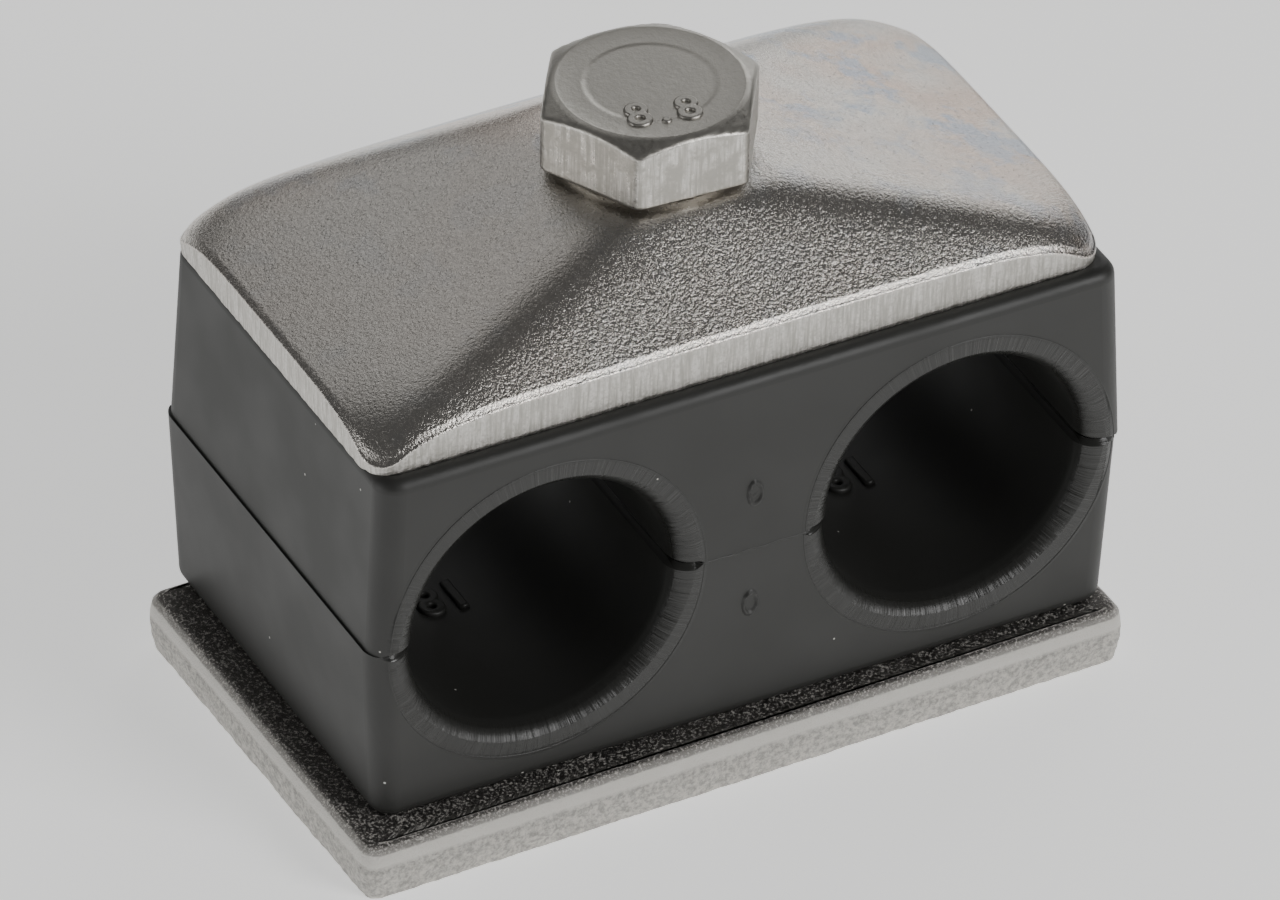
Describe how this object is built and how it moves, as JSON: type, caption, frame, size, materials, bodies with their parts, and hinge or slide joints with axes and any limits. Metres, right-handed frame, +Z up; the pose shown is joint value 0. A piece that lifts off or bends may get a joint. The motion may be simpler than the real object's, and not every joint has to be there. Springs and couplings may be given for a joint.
{
  "type": "twin hydraulic tube clamp",
  "caption": "Twin hydraulic tube clamp: two moulded half shells closed round two parallel tubes by a bolt, cover plate and weld plate",
  "frame": {"origin": "centre of the weld plate's underside, the face that is welded down", "axes": "+Z up along the bolt, +X along the plate's length from one tube to the other, +Y along the tubes"},
  "size_m": [0.0547, 0.0319, 0.0431],
  "materials": {
    "plate_steel": "rolled bar with sheared edges, oiled and bare",
    "collar_steel": "turned",
    "lower_plastic": "moulded black polypropylene, satin",
    "upper_plastic": "moulded black polypropylene, satin",
    "cover_steel": "pressed sheet, zinc plated",
    "bolt_steel": "cold formed, zinc plated"
  },
  "bodies": {
    "base": {"weld_plate": "plate_steel", "threaded_collar": "collar_steel", "lower_clamp_half": "lower_plastic"},
    "top": {"upper_clamp_half": "upper_plastic", "cover_plate": "cover_steel"},
    "bolt": {"hex_bolt": "bolt_steel"}
  },
  "joints": [
    {"name": "clamp_lift", "type": "slide", "parent": "base", "child": "top", "axis": [0, 0, 1], "range_m": [0, 0.005]},
    {"name": "bolt_turn", "type": "hinge", "parent": "top", "child": "bolt", "pos_m": [0.001, 0.00125, 0.038], "axis": [0, 0, 1], "range_deg": [0, 1445]}
  ],
  "couplings": [
    {"joint": "bolt_turn", "follows": "clamp_lift", "rad_per_m": 5026.5}
  ]
}
